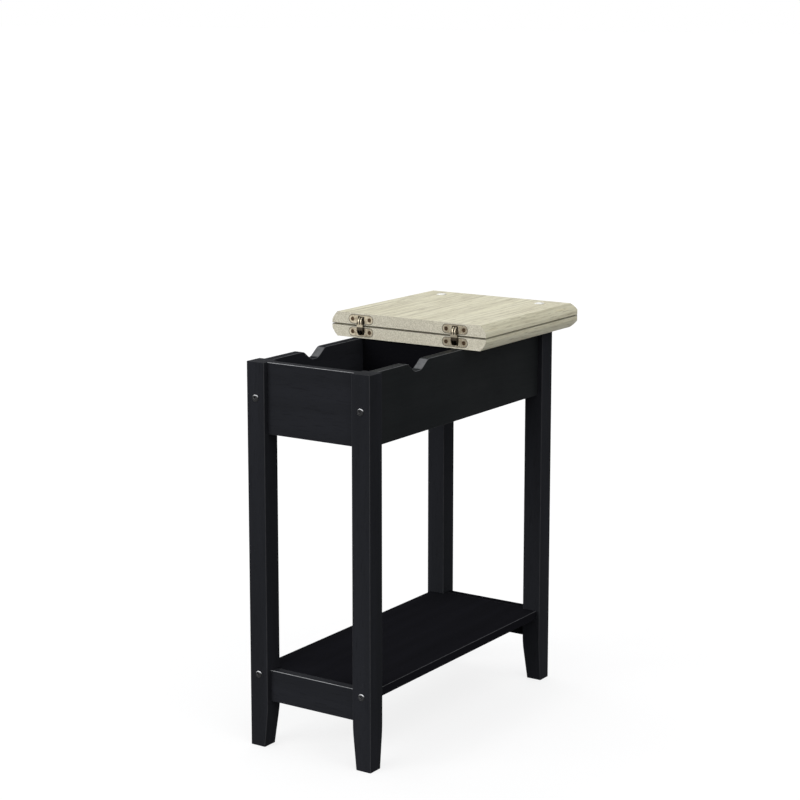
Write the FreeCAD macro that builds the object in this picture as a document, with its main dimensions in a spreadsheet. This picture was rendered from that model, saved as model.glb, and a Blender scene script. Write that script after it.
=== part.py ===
import FreeCAD, Part
import Sketcher
import os
import re

# Flip-top end table: a narrow painted frame with a storage compartment under a two-leaf top.
# The front leaf folds over on two concealed hinges and rests upside down on the fixed rear leaf, as drawn.
# Millimetres, +Z up, +Y to the back.  The origin is on the floor, in the middle of the part as drawn.

SIZES = {
    # Top
    "table_height": 610,
    "top_length": 580,
    "top_width": 284,
    "top_thickness": 19,
    "fold_gap": 1,
    "edge_flat": 6,
    "edge_round": 1.2,
    "edge_inset": 10,
    "edge_bow": 38,
    "corner_round": 5,
    "cut_round": 0.9,
    "pad_size": 13,
    "pad_thickness": 1.5,
    # Frame
    "frame_width": 220,
    "frame_length": 524,
    "leg_size": 32,
    "foot_size": 26,
    "taper_height": 73,
    "taper_soften": 25,
    "leg_round": 1.6,
    "rail_height": 108,
    "rail_thickness": 15,
    "stretcher_height": 48.5,
    "shelf_height": 120,
    "shelf_thickness": 14,
    "shelf_width": 208,
    "board_round": 1,
    "notch_start": 111,
    "notch_width": 55,
    "notch_floor": 17,
    "notch_depth": 14,
    "notch_round": 14,
    # Compartment
    "floor_thickness": 5,
    "floor_lift": 10,
    "groove_depth": 4,
    "divider_thickness": 12,
    "divider_setback": 5,
    # Frame fixings
    "bolt_radius": 3,
    "bolt_length": 64,
    "bolt_head_radius": 5.5,
    "bolt_head_height": 3,
    "bolt_head_round": 1.8,
    "bolt_sink": 1.6,
    "hex_key": 4,
    "hex_depth": 1.8,
    "barrel_radius": 5,
    "barrel_length": 11,
    "barrel_setback": 24,
    "barrel_slot": 1.4,
    "dowel_radius": 4,
    "dowel_length": 28,
    "dowel_chamfer": 1,
    "dowel_spacing": 64,
    "dowel_stagger": 10,
    "stretcher_dowel_high_share": 0.42,
    "stretcher_dowel_low_share": 0.78,
    "bracket_size": 20,
    "bracket_width": 16,
    "bracket_thickness": 2,
    "bracket_near_share": 0.22,
    "bracket_far_share": 0.84,
    "bracket_screw_share": 0.65,
    "bracket_screw_radius": 1.8,
    "bracket_screw_length": 12,
    "bracket_screw_head": 3.4,
    # Hinges
    "hinge_inset": 55,
    "plate_length": 44.5,
    "plate_height": 12.7,
    "plate_thickness": 2,
    "plate_screw_spacing": 31.8,
    "cup_width": 17,
    "cup_height": 11.8,
    "cup_depth": 17,
    "cup_wall": 1.5,
    "slot_width": 11.8,
    "slot_height": 9.8,
    "mortise_height": 13.2,
    "link_pivot": 5.6,
    "link_eye": 1.9,
    "link_sweep": 9.3,
    "link_front": 3.2,
    "link_back": 0.3,
    "link_reach": 8,
    "link_root": 7,
    "link_thickness": 1.8,
    "link_pitch": 2.2,
    "link_start_angle": 3,
    "link_span_angle": 62,
    "pivot_radius": 1,
    "centre_pin_radius": 0.65,
    "hinge_screw_head": 3.4,
    "hinge_screw_head_depth": 1.7,
    "hinge_screw_radius": 1.7,
    "hinge_screw_length": 16,
    "cross_length": 3.6,
    "cross_width": 0.9,
    "cross_depth": 1,
    # Charging station
    "station_width": 104,
    "station_height": 40,
    "station_round": 5,
    "station_plate": 3,
    "station_lift": 8,
    "housing_width": 90,
    "housing_height": 31,
    "housing_depth": 46,
    "housing_wall": 2,
    "outlet_width": 26,
    "outlet_height": 25,
    "outlet_depth": 13,
    "outlet_proud": 0.8,
    "outlet_offset": 29,
    "outlet_rise": 4,
    "blade_spacing": 12.7,
    "blade_width": 2.2,
    "blade_height": 8,
    "blade_depth": 9,
    "earth_radius": 2.4,
    "earth_drop": 11.9,
    "usb_width": 13.2,
    "usb_height": 5.8,
    "usb_depth": 12,
    "usb_wall": 0.4,
    "usb_pitch": 12,
    "usb_tongue_width": 10,
    "usb_tongue_height": 1.8,
    "usb_base": 4,
    "station_screw_radius": 1.6,
    "station_screw_head": 3,
    "station_screw_length": 10,
    "station_screw_inset": 4.5,
    "gland_radius": 6,
    "gland_bore": 2.4,
    "gland_length": 10,
    "grommet_radius": 9,
    "grommet_flange": 12,
    "grommet_lip": 2,
    "grommet_bore": 6,
    # Fits
    "wood_fit": 0.2,
    "metal_fit": 0.15,
    "pivot_fit": 0.05,
    "slide_fit": 0.12,
    "overrun": 5,
}

FORMULAS = {
    "cut_y": "-(top_length - frame_length) / 4 + (bolt_head_height - bolt_sink) / 2",
    "leg_top": "table_height - top_thickness",
    "fold_z": "table_height + fold_gap / 2",
    "half_gap": "fold_gap / 2",
    "half_width": "frame_width / 2",
    "half_length": "frame_length / 2",
    "leg_inner_x": "half_width - leg_size",
    "leg_inner_y": "half_length - leg_size",
    "leg_mid_x": "half_width - leg_size / 2",
    "leg_mid_y": "half_length - leg_size / 2",
    "soften_rise": "(leg_size - foot_size) * taper_soften / (2 * taper_height - taper_soften)",
    "soften_bend": "(taper_soften * taper_soften + soften_rise * soften_rise) / (2 * soften_rise)",
    "rail_inset": "(leg_size - rail_thickness) / 2",
    "rail_inner_x": "half_width - rail_inset - rail_thickness",
    "rail_inner_y": "half_length - rail_inset - rail_thickness",
    "rail_bottom": "leg_top - rail_height",
    "rail_mid_z": "leg_top - rail_height / 2",
    "shelf_mid_z": "shelf_height - shelf_thickness / 2",
    "floor_bottom": "rail_bottom + floor_lift",
    "floor_top": "floor_bottom + floor_thickness",
    "divider_y": "cut_y + divider_setback",
    "hinge_offset": "top_width / 2 - hinge_inset",
    "plate_depth": "half_gap + top_thickness / 2",
    "link_bar": "link_front - link_back",
    "link_mid": "(link_front + link_back) / 2",
    "link_slide": "2 * link_pivot * (sqrt(2) - 1)",
    "pack_width": "4 * link_pitch + link_thickness",
    "station_z": "floor_top + station_lift + station_height / 2",
    "gland_neck": "(gland_radius + gland_bore) / 2",
}

doc = FreeCAD.newDocument("flip_top_end_table")
sheet = doc.addObject("Spreadsheet::Sheet", "sheet")
for row, (name, value) in enumerate(SIZES.items(), start=1):
    sheet.set(f"A{row}", name)
    sheet.set(f"B{row}", str(value))
    sheet.setAlias(f"B{row}", name)
doc.recompute()

WORD = re.compile(r"[a-z][a-z0-9_]*")
NODES = {}
HALF_TURN_ANGLE = 180
THIRD_TURN_ANGLE = 120
# An edge runs along an axis when this share of its direction does, and lies on a place when this near to it.
MOSTLY_SHARE = 0.9
NEAR_TOLERANCE = 0.01


def expand(formula):
    """Write a formula of named values as an expression of sheet cells."""
    def swap(match):
        word = match.group(0)
        if word in SIZES:
            return "sheet." + word
        if word in FORMULAS:
            return "(" + expand(FORMULAS[word]) + ")"
        return word
    return WORD.sub(swap, formula)


def number(formula):
    """The present value of a formula."""
    return float(sheet.evalExpression(expand(formula)))


def bind(item, **formulas):
    for name, formula in formulas.items():
        item.setExpression(name, expand(formula))


def place(item, x, y, z):
    item.setExpression("Placement.Base.x", expand(x))
    item.setExpression("Placement.Base.y", expand(y))
    item.setExpression("Placement.Base.z", expand(z))


def slab(label, x, y, z):
    """A box between pairs of formulas, low then high."""
    item = doc.addObject("Part::Box", label)
    bind(
        item,
        Length=f"({x[1]}) - ({x[0]})",
        Width=f"({y[1]}) - ({y[0]})",
        Height=f"({z[1]}) - ({z[0]})",
    )
    place(item, x[0], y[0], z[0])
    return item


def about(middle, half):
    """A pair of formulas on either side of a middle."""
    return (f"({middle}) - ({half})", f"({middle}) + ({half})")


def side(sign, near, far, middle="0"):
    """A span from near to far, measured from the middle towards one side."""
    if sign > 0:
        return (f"({middle}) + ({near})", f"({middle}) + ({far})")
    return (f"({middle}) - ({far})", f"({middle}) - ({near})")


TURNS = {
    "+x": FreeCAD.Rotation(FreeCAD.Vector(0, 1, 0), 90),
    "-x": FreeCAD.Rotation(FreeCAD.Vector(0, 1, 0), -90),
    "+y": FreeCAD.Rotation(FreeCAD.Vector(1, 0, 0), -90),
    "-y": FreeCAD.Rotation(FreeCAD.Vector(1, 0, 0), 90),
    "+z": FreeCAD.Rotation(),
    "-z": FreeCAD.Rotation(FreeCAD.Vector(1, 0, 0), 180),
}


def turned(item, way, at):
    item.Placement = FreeCAD.Placement(FreeCAD.Vector(), TURNS[way])
    place(item, *at)
    return item


def rod(label, way, at, radius, length):
    """A cylinder that starts at a point and runs one way."""
    item = doc.addObject("Part::Cylinder", label)
    bind(item, Radius=radius, Height=length)
    return turned(item, way, at)


def cone(label, way, at, start_radius, end_radius, length):
    item = doc.addObject("Part::Cone", label)
    bind(item, Radius1=start_radius, Radius2=end_radius, Height=length)
    return turned(item, way, at)


def prism(label, way, at, across_flats, length):
    """A hexagonal prism given by its width across the flats."""
    item = doc.addObject("Part::Prism", label)
    bind(item, Circumradius=f"({across_flats}) / sqrt(3)", Height=length)
    return turned(item, way, at)


def join(label, items):
    item = doc.addObject("Part::MultiFuse", label)
    item.Shapes = items
    item.Refine = True
    return item


def meet(label, items):
    item = doc.addObject("Part::MultiCommon", label)
    item.Shapes = items
    return item


def group(label, items):
    item = doc.addObject("Part::Compound", label)
    item.Links = items
    return item


def cut(label, base, tools):
    item = doc.addObject("Part::Cut", label)
    item.Base = base
    item.Tool = tools[0] if len(tools) == 1 else join(label + "_tools", tools)
    return item


def rounded(label, base, radius, choose):
    """Round the edges of a piece that a test picks."""
    doc.recompute()
    size = number(radius)
    item = doc.addObject("Part::Fillet", label)
    item.Base = base
    edges = base.Shape.Edges
    item.Edges = [(i + 1, size, size) for i, edge in enumerate(edges) if choose(edge)]
    return item


def run(edge):
    """The direction of an edge between its ends, without sign, and its middle."""
    ends = [edge.valueAt(edge.FirstParameter), edge.valueAt(edge.LastParameter)]
    line = ends[1] - ends[0]
    if line.Length > 0:
        line = line / line.Length
    middle = (ends[0] + ends[1]) / 2
    return FreeCAD.Vector(abs(line.x), abs(line.y), abs(line.z)), middle


def profile(label, plane, outline, length, back=False):
    """A padded body from an outline of (u, v, bend) points.

    Each point is a pair of formulas; bend is the radius formula of the outward arc to the next point, or
    None for a straight edge.
    """
    body = doc.addObject("PartDesign::Body", label)
    sketch = body.newObject("Sketcher::SketchObject", label + "_sketch")
    support = [item for item in body.Origin.OriginFeatures if item.Role == plane][0]
    sketch.AttachmentSupport = (support, [""])
    sketch.MapMode = "FlatFace"
    corners = [FreeCAD.Vector(number(u), number(v), 0) for u, v, bend in outline]
    count = len(outline)
    edges = []
    for i, (u, v, bend) in enumerate(outline):
        start = corners[i]
        end = corners[(i + 1) % count]
        if bend is None:
            edges.append(sketch.addGeometry(Part.LineSegment(start, end), False))
            continue
        radius = number(bend)
        chord = end - start
        rise = radius - (radius ** 2 - chord.Length ** 2 / 4) ** 0.5
        outward = FreeCAD.Vector(chord.y, -chord.x, 0) / chord.Length
        crown = (start + end) / 2 + outward * rise
        edges.append(sketch.addGeometry(Part.Arc(start, crown, end), False))
    for i, (u, v, bend) in enumerate(outline):
        following = edges[(i + 1) % count]
        sketch.addConstraint(Sketcher.Constraint("Coincident", edges[i], 2, following, 1))
        for kind, formula, value in (("DistanceX", u, corners[i].x), ("DistanceY", v, corners[i].y)):
            index = sketch.addConstraint(Sketcher.Constraint(kind, -1, 1, edges[i], 1, value))
            sketch.renameConstraint(index, f"{kind.lower()}_{i}")
            sketch.setExpression(f"Constraints.{kind.lower()}_{i}", expand(formula))
        if bend is not None:
            index = sketch.addConstraint(Sketcher.Constraint("Radius", edges[i], number(bend)))
            sketch.renameConstraint(index, f"bend_{i}")
            sketch.setExpression(f"Constraints.bend_{i}", expand(bend))
    pad = body.newObject("PartDesign::Pad", label + "_pad")
    pad.Profile = sketch
    pad.Reversed = back
    bind(pad, Length=length)
    return body


def node(name, item):
    item.Label = name
    NODES[name] = item
    return item


def sides():
    return (("left", -1), ("right", 1))


def ends():
    return (("front", -1), ("back", 1))


def dowel(label, way, at, half):
    """A dowel centred on a joint face, chamfered at both ends."""
    axis = {"x": 0, "y": 1}[way[1]]
    point = list(at)
    point[axis] = f"({at[axis]}) - ({half})"
    body = rod(label + "_body", "+" + way[1], point, "dowel_radius", f"2 * ({half})")
    doc.recompute()
    item = doc.addObject("Part::Chamfer", label)
    item.Base = body
    size = number("dowel_chamfer")
    item.Edges = [(i + 1, size, size) for i, edge in enumerate(body.Shape.Edges) if len(edge.Vertexes) == 1]
    return item


def dowel_hole(label, way, at, half):
    axis = {"x": 0, "y": 1}[way[1]]
    point = list(at)
    point[axis] = f"({at[axis]}) - ({half}) - wood_fit"
    return rod(label, "+" + way[1], point, "dowel_radius + wood_fit", f"2 * ({half}) + 2 * wood_fit")


def apron_dowels(sx, sy):
    """Places of the dowels between an apron and a leg: along X at the leg's inner face."""
    return [
        (f"{sx} * leg_inner_x", f"cut_y + {sy} * leg_mid_y", f"rail_mid_z + {rise} * dowel_spacing / 2")
        for rise in (-1, 1)
    ]


def rail_dowels(sx, sy):
    """Places of the dowels between a side rail and a leg: along Y, clear of the apron's dowels."""
    spread = "dowel_spacing / 2 - dowel_stagger"
    return [
        (f"{sx} * leg_mid_x", f"cut_y + {sy} * leg_inner_y", f"rail_mid_z + {rise} * ({spread})")
        for rise in (-1, 1)
    ]


def stretcher_dowels(sx, sy):
    """Places of the dowels between a stretcher and a leg: along X, below the shelf bolt."""
    return [
        (f"{sx} * leg_inner_x", f"cut_y + {sy} * leg_mid_y", f"shelf_height - {share} * stretcher_height")
        for share in ("stretcher_dowel_high_share", "stretcher_dowel_low_share")
    ]


def divider_dowels(sx):
    middle = "(floor_top + leg_top) / 2"
    y = "divider_y + divider_thickness / 2"
    return [
        (f"{sx} * rail_inner_x", y, f"{middle} + {rise} * dowel_spacing / 2")
        for rise in (-1, 1)
    ]


def at_corners(places):
    """The places of all four corners, from a rule for one."""
    return [spot for end, sy in ends() for flank, sx in sides() for spot in places(sx, sy)]


HALF_DOWEL = "dowel_length / 2"
HALF_DIVIDER_DOWEL = "rail_thickness / 2"


def bolt_heights():
    return (("rail", "rail_mid_z"), ("shelf", "shelf_mid_z"))


def bolt_tools(label, sx, sy, height):
    """The clearance hole and head recess of one frame bolt, from the leg's outer face inwards."""
    way = "+y" if sy < 0 else "-y"
    x = f"{sx} * leg_mid_x"
    hole = rod(
        label + "_hole", way, (x, f"cut_y + {sy} * (half_length + overrun)", height),
        "bolt_radius + wood_fit", "overrun + bolt_sink + bolt_length + wood_fit",
    )
    recess = rod(
        label + "_recess", way, (x, f"cut_y + {sy} * (half_length + overrun)", height),
        "bolt_head_radius + wood_fit", "overrun + bolt_sink",
    )
    return [hole, recess]


def barrel_place(sx, sy, height):
    return (f"{sx} * leg_mid_x", f"cut_y + {sy} * (leg_inner_y - barrel_setback)", height)


def leg_outline(sign, middle, outer):
    """A leg seen square on: straight outside, tapered to the foot inside with a soft start."""
    def at(inward):
        return f"({middle}) + {sign} * (({outer}) - ({inward}))"

    inside = [
        (at("foot_size"), "0", None),
        (at("leg_size - soften_rise"), "taper_height - taper_soften", "soften_bend"),
        (at("leg_size"), "taper_height", None),
        (at("leg_size"), "leg_top", None),
    ]
    outside = [(at("0"), "leg_top", None), (at("0"), "0", None)]
    if sign < 0:
        return inside + outside
    return [
        (at("foot_size"), "0", None),
        (at("0"), "0", None),
        (at("0"), "leg_top", None),
        (at("leg_size"), "leg_top", None),
        (at("leg_size"), "taper_height", "soften_bend"),
        (at("leg_size - soften_rise"), "taper_height - taper_soften", None),
    ]


def make_leg(end, sy, flank, sx):
    label = f"leg_{end}_{flank}"
    front = profile(
        label + "_front_view", "XZ_Plane", leg_outline(sx, "0", "half_width"), "leg_size", True)
    place(front, "0", side(sy, "leg_inner_y", "half_length", "cut_y")[0], "0")
    flank_view = profile(
        label + "_side_view", "YZ_Plane", leg_outline(sy, "cut_y", "half_length"), "leg_size")
    place(flank_view, side(sx, "leg_inner_x", "half_width")[0], "0", "0")
    stick = meet(label + "_stick", [front, flank_view])

    def upright(edge):
        line, middle = run(edge)
        return line.z > MOSTLY_SHARE

    smooth = rounded(label + "_smooth", stick, "leg_round", upright)
    tools = []
    for kind, height in bolt_heights():
        tools += bolt_tools(f"{label}_{kind}_bolt", sx, sy, height)
    for i, spot in enumerate(apron_dowels(sx, sy) + stretcher_dowels(sx, sy)):
        tools.append(dowel_hole(f"{label}_apron_dowel_{i}", "+x", spot, HALF_DOWEL))
    for i, spot in enumerate(rail_dowels(sx, sy)):
        tools.append(dowel_hole(f"{label}_rail_dowel_{i}", "+y", spot, HALF_DOWEL))
    return node(label, cut(label, smooth, tools))


def make_apron(end, sy):
    label = f"apron_{end}"
    board = slab(
        label + "_board",
        ("-leg_inner_x", "leg_inner_x"),
        side(sy, "rail_inner_y", "rail_inner_y + rail_thickness", "cut_y"),
        ("rail_bottom", "leg_top"),
    )

    def along(edge):
        line, middle = run(edge)
        return line.x > MOSTLY_SHARE

    smooth = rounded(label + "_smooth", board, "board_round", along)
    tools = [slab(
        label + "_groove",
        ("-leg_inner_x - overrun", "leg_inner_x + overrun"),
        side(sy, "rail_inner_y - overrun", "rail_inner_y + groove_depth + wood_fit", "cut_y"),
        ("floor_bottom - wood_fit", "floor_top + wood_fit"),
    )]
    for flank, sx in sides():
        for i, spot in enumerate(apron_dowels(sx, sy)):
            tools.append(dowel_hole(f"{label}_{flank}_dowel_{i}", "+x", spot, HALF_DOWEL))
    if end == "back":
        tools.append(rod(
            label + "_cord_hole", "+y", ("0", "cut_y + rail_inner_y - overrun", "station_z"),
            "grommet_radius + wood_fit", "rail_thickness + 2 * overrun",
        ))
    return node(label, cut(label, smooth, tools))


def make_rail(flank, sx):
    label = f"side_rail_{flank}"
    low = "cut_y - leg_inner_y"
    high = "cut_y + leg_inner_y"
    near = "cut_y - half_length + notch_start"
    ramp = "(notch_width - notch_floor) / 2"
    floor = "leg_top - notch_depth"
    outline = [
        (low, "rail_bottom", None),
        (high, "rail_bottom", None),
        (high, "leg_top", None),
        (f"{near} + notch_width", "leg_top", None),
        (f"{near} + notch_width - {ramp}", floor, None),
        (f"{near} + {ramp}", floor, None),
        (near, "leg_top", None),
        (low, "leg_top", None),
    ]
    board = profile(label + "_board", "YZ_Plane", outline, "rail_thickness")
    place(board, "rail_inner_x" if sx > 0 else "-rail_inner_x - rail_thickness", "0", "0")
    first = number(near)
    last = first + number("notch_width")

    def notch_corner(edge):
        line, middle = run(edge)
        inside = first - NEAR_TOLERANCE < middle.y < last + NEAR_TOLERANCE
        return inside and line.x > MOSTLY_SHARE and middle.z > number("rail_mid_z")

    eased = rounded(label + "_eased", board, "notch_round", notch_corner)

    def rim(edge):
        line, middle = run(edge)
        return line.x < NEAR_TOLERANCE and line.z < MOSTLY_SHARE

    smooth = rounded(label + "_smooth", eased, "board_round", rim)
    tools = [slab(
        label + "_groove",
        side(sx, "rail_inner_x - overrun", "rail_inner_x + groove_depth + wood_fit"),
        (f"{low} - overrun", f"{high} + overrun"),
        ("floor_bottom - wood_fit", "floor_top + wood_fit"),
    )]
    for end, sy in ends():
        tools.append(bolt_tools(f"{label}_{end}_bolt", sx, sy, "rail_mid_z")[0])
        spot = barrel_place(sx, sy, "rail_mid_z")
        start = f"{sx} * (rail_inner_x - overrun)"
        tools.append(rod(
            f"{label}_{end}_barrel", "+x" if sx > 0 else "-x", (start, spot[1], spot[2]),
            "barrel_radius + wood_fit", "overrun + (rail_thickness + barrel_length) / 2 + wood_fit",
        ))
        for i, spot in enumerate(rail_dowels(sx, sy)):
            tools.append(dowel_hole(f"{label}_{end}_dowel_{i}", "+y", spot, HALF_DOWEL))
    for i, spot in enumerate(divider_dowels(sx)):
        tools.append(dowel_hole(f"{label}_divider_dowel_{i}", "+x", spot, HALF_DIVIDER_DOWEL))
    for i, spot in enumerate(bracket_spots()):
        if spot[0] == sx:
            tools.append(bracket_screw_hole(f"{label}_bracket_{i}", spot, True))
    return node(label, cut(label, smooth, tools))


def make_stretcher(end, sy):
    label = f"stretcher_{end}"
    board = slab(
        label + "_board",
        ("-leg_inner_x", "leg_inner_x"),
        side(sy, "rail_inner_y", "rail_inner_y + rail_thickness", "cut_y"),
        ("shelf_height - stretcher_height", "shelf_height"),
    )

    def along(edge):
        line, middle = run(edge)
        return line.x > MOSTLY_SHARE

    smooth = rounded(label + "_smooth", board, "board_round", along)
    tools = []
    for flank, sx in sides():
        for i, spot in enumerate(stretcher_dowels(sx, sy)):
            tools.append(dowel_hole(f"{label}_{flank}_dowel_{i}", "+x", spot, HALF_DOWEL))
    return node(label, cut(label, smooth, tools))


def make_shelf():
    label = "shelf"
    level = ("shelf_height - shelf_thickness", "shelf_height")
    middle = slab(
        label + "_middle", about("0", "leg_inner_x - wood_fit"),
        about("cut_y", "rail_inner_y - wood_fit"), level)
    broad = slab(
        label + "_broad", about("0", "shelf_width / 2"), about("cut_y", "leg_inner_y - wood_fit"), level)
    board = join(label + "_board", [middle, broad])
    edge_x = number("shelf_width") / 2

    def flank_edge(edge):
        line, spot = run(edge)
        return line.y > MOSTLY_SHARE and abs(abs(spot.x) - edge_x) < NEAR_TOLERANCE

    smooth = rounded(label + "_smooth", board, "board_round", flank_edge)
    tools = []
    for end, sy in ends():
        for flank, sx in sides():
            tools.append(bolt_tools(f"{label}_{end}_{flank}_bolt", sx, sy, "shelf_mid_z")[0])
            spot = barrel_place(sx, sy, "shelf_height - shelf_thickness - overrun")
            tools.append(rod(
                f"{label}_{end}_{flank}_barrel", "+z", spot, "barrel_radius + wood_fit",
                "overrun + (shelf_thickness + barrel_length) / 2 + wood_fit",
            ))
    return node(label, cut(label, smooth, tools))


def make_floor():
    label = "compartment_floor"
    level = ("floor_bottom", "floor_top")
    board = slab(
        label + "_board", about("0", "rail_inner_x + groove_depth"),
        about("cut_y", "rail_inner_y + groove_depth"), level)
    tools = []
    for end, sy in ends():
        for flank, sx in sides():
            tools.append(slab(
                f"{label}_{end}_{flank}_corner",
                side(sx, "leg_inner_x - wood_fit", "half_width + overrun"),
                side(sy, "leg_inner_y - wood_fit", "half_length + overrun", "cut_y"),
                ("floor_bottom - overrun", "floor_top + overrun"),
            ))
    return node(label, cut(label, board, tools))


def make_divider():
    label = "divider"
    board = slab(
        label + "_board",
        about("0", "rail_inner_x - wood_fit"),
        ("divider_y", "divider_y + divider_thickness"),
        ("floor_top", "leg_top"),
    )
    tools = [slab(
        label + "_window",
        about("0", "housing_width / 2 + wood_fit"),
        ("divider_y - overrun", "divider_y + divider_thickness + overrun"),
        about("station_z", "housing_height / 2 + wood_fit"),
    )]
    for flank, sx in sides():
        for i, spot in enumerate(divider_dowels(sx)):
            tools.append(dowel_hole(f"{label}_{flank}_dowel_{i}", "+x", spot, HALF_DIVIDER_DOWEL))
        x, y, z = station_screw_place(sx)
        tools.append(rod(
            f"{label}_{flank}_screw", "+y", (x, y, z), "station_screw_radius + wood_fit",
            "station_screw_length + wood_fit"))
    return node(label, cut(label, board, tools))


def depth(sign, formula):
    """A height measured from the fold axis: up for the flip leaf, down for the fixed leaf."""
    return f"fold_z + {sign} * ({formula})"


def make_leaf(label, sign):
    """One leaf, its show face next to the fold axis and its moulded edges on three sides."""
    face = "half_gap"
    back = "half_gap + top_thickness"
    wide = "top_width / 2"
    section = [
        (f"-({wide}) + edge_round", face),
        (f"{wide} - edge_round", face),
        (wide, f"{face} + edge_round"),
        (wide, f"{face} + edge_flat"),
        (f"{wide} - edge_inset", back),
        (f"-({wide}) + edge_inset", back),
        (f"-({wide})", f"{face} + edge_flat"),
        (f"-({wide})", f"{face} + edge_round"),
    ]
    section_bends = [None, "edge_round", None, "edge_bow", None, "edge_bow", None, "edge_round"]
    near = "cut_y + half_gap"
    far = "cut_y + top_length / 2"
    flank = [
        (f"{near} + cut_round", face),
        (f"{far} - edge_round", face),
        (far, f"{face} + edge_round"),
        (far, f"{face} + edge_flat"),
        (f"{far} - edge_inset", back),
        (near, back),
        (near, f"{face} + cut_round"),
    ]
    flank_bends = [None, "edge_round", None, "edge_bow", None, None, "cut_round"]
    plan = [
        (f"-({wide})", near),
        (wide, near),
        (wide, f"{far} - corner_round"),
        (f"{wide} - corner_round", far),
        (f"-({wide}) + corner_round", far),
        (f"-({wide})", f"{far} - corner_round"),
    ]
    plan_bends = [None, None, "corner_round", None, "corner_round", None]

    def outline(points, bends):
        items = [(u, depth(sign, v), bend) for (u, v), bend in zip(points, bends)]
        if sign > 0:
            return items
        turned_round = items[::-1]
        shifted = bends[::-1]
        shifted = shifted[1:] + shifted[:1]
        return [(u, v, bend) for (u, v, old), bend in zip(turned_round, shifted)]

    across = profile(label + "_across", "XZ_Plane", outline(section, section_bends), "top_length / 2", True)
    place(across, "0", "cut_y", "0")
    along = profile(label + "_along", "YZ_Plane", outline(flank, flank_bends), "top_width")
    place(along, "-top_width / 2", "0", "0")
    plan_points = [(u, v, bend) for (u, v), bend in zip(plan, plan_bends)]
    cover = profile(label + "_plan", "XY_Plane", plan_points, "top_thickness")
    place(cover, "0", "0", depth(sign, "half_gap") if sign > 0 else depth(sign, "half_gap + top_thickness"))
    board = meet(label + "_board", [across, along, cover])
    tools = []
    for flank_name, sx in sides():
        tools += mortise(f"{label}_{flank_name}", sx, sign)
    if sign < 0:
        for i, spot in enumerate(bracket_spots()):
            tools.append(bracket_screw_hole(f"{label}_bracket_{i}", spot, False))
    return node(label, cut(label, board, tools))


def stadium(label, x, z, start, length, long_side, short_side):
    """A round-ended bar across X, padded along +Y."""
    straight = f"({long_side} - ({short_side})) / 2"
    items = [slab(
        label + "_bar", about(x, straight), (start, f"({start}) + ({length})"),
        about(z, f"({short_side}) / 2"))]
    for flank, sx in sides():
        items.append(rod(
            f"{label}_{flank}", "+y", (f"({x}) + {sx} * {straight}", start, z),
            f"({short_side}) / 2", length))
    return join(label, items)


def hinge_x(sx):
    return f"{sx} * hinge_offset"


def hinge_screw_places(sx, sign):
    return [
        (f"{hinge_x(sx)} + {k} * plate_screw_spacing / 2", "cut_y + half_gap", depth(sign, "plate_depth"))
        for k in (-1, 1)
    ]


def mortise(label, sx, sign):
    """The pocket of one hinge cup in a leaf's cut edge."""
    front = "cut_y + half_gap - overrun"
    items = [
        stadium(
            label + "_plate_pocket", hinge_x(sx), depth(sign, "plate_depth"), front,
            "overrun + plate_thickness", "plate_length + 2 * wood_fit", "plate_height + 2 * wood_fit",
        ),
        slab(
            label + "_cup_pocket",
            about(hinge_x(sx), "cup_width / 2 + wood_fit"),
            (front, "cut_y + half_gap + cup_depth + wood_fit"),
            about(depth(sign, "plate_depth"), "mortise_height / 2"),
        ),
    ]
    for i, spot in enumerate(hinge_screw_places(sx, sign)):
        items.append(rod(
            f"{label}_pilot_{i}", "+y", spot, "hinge_screw_radius + wood_fit",
            "hinge_screw_length + wood_fit"))
    return items


def make_cup(label, sx, sign):
    front = "cut_y + half_gap"
    x = hinge_x(sx)
    z = depth(sign, "plate_depth")
    plate = stadium(label + "_plate", x, z, front, "plate_thickness", "plate_length", "plate_height")
    barrel = slab(
        label + "_barrel", about(x, "cup_width / 2"),
        (f"{front} + plate_thickness / 2", f"{front} + cup_depth"), about(z, "cup_height / 2"))
    solid = join(label + "_solid", [plate, barrel])
    tools = [
        slab(
            label + "_slot", about(x, "slot_width / 2"),
            (f"{front} - overrun", f"{front} + plate_thickness + overrun"), about(z, "slot_height / 2")),
        slab(
            label + "_cavity", about(x, "slot_width / 2"),
            (f"{front} + plate_thickness", f"{front} + cup_depth - cup_wall"),
            about(z, "cup_height / 2 + overrun")),
        rod(
            label + "_pivot_hole", "+x",
            (f"({x}) - cup_width / 2 - overrun", "cut_y + link_pivot", depth(sign, "link_pivot")),
            "pivot_radius + pivot_fit", "cup_width + 2 * overrun"),
    ]
    for i, spot in enumerate(hinge_screw_places(sx, sign)):
        tools.append(cone(
            f"{label}_sink_{i}", "+y", spot, "hinge_screw_head + metal_fit",
            "hinge_screw_radius + metal_fit", "hinge_screw_head_depth"))
        tools.append(rod(
            f"{label}_screw_{i}", "+y", spot, "hinge_screw_radius + metal_fit",
            "plate_thickness + overrun"))
    return node(label, cut(label, solid, tools))


def screw(label, way, at, head, head_depth, radius, length):
    """A countersunk screw with a cross recess, from its head face inwards."""
    top = cone(label + "_head", way, at, head, radius, head_depth)
    shank = rod(label + "_shank", way, at, radius, length)
    solid = join(label + "_solid", [top, shank])
    axis = {"x": 0, "y": 1, "z": 2}[way[1]]
    sign = 1 if way[0] == "+" else -1
    recess = []
    for first in range(3):
        if first == axis:
            continue
        spans = []
        for other in range(3):
            if other == axis:
                spans.append(side(sign, "-overrun", "cross_depth", at[other]))
            elif other == first:
                spans.append(about(at[other], "cross_length / 2"))
            else:
                spans.append(about(at[other], "cross_width / 2"))
        recess.append(slab(f"{label}_cross_{first}", *spans))
    return cut(label, solid, recess)


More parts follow.
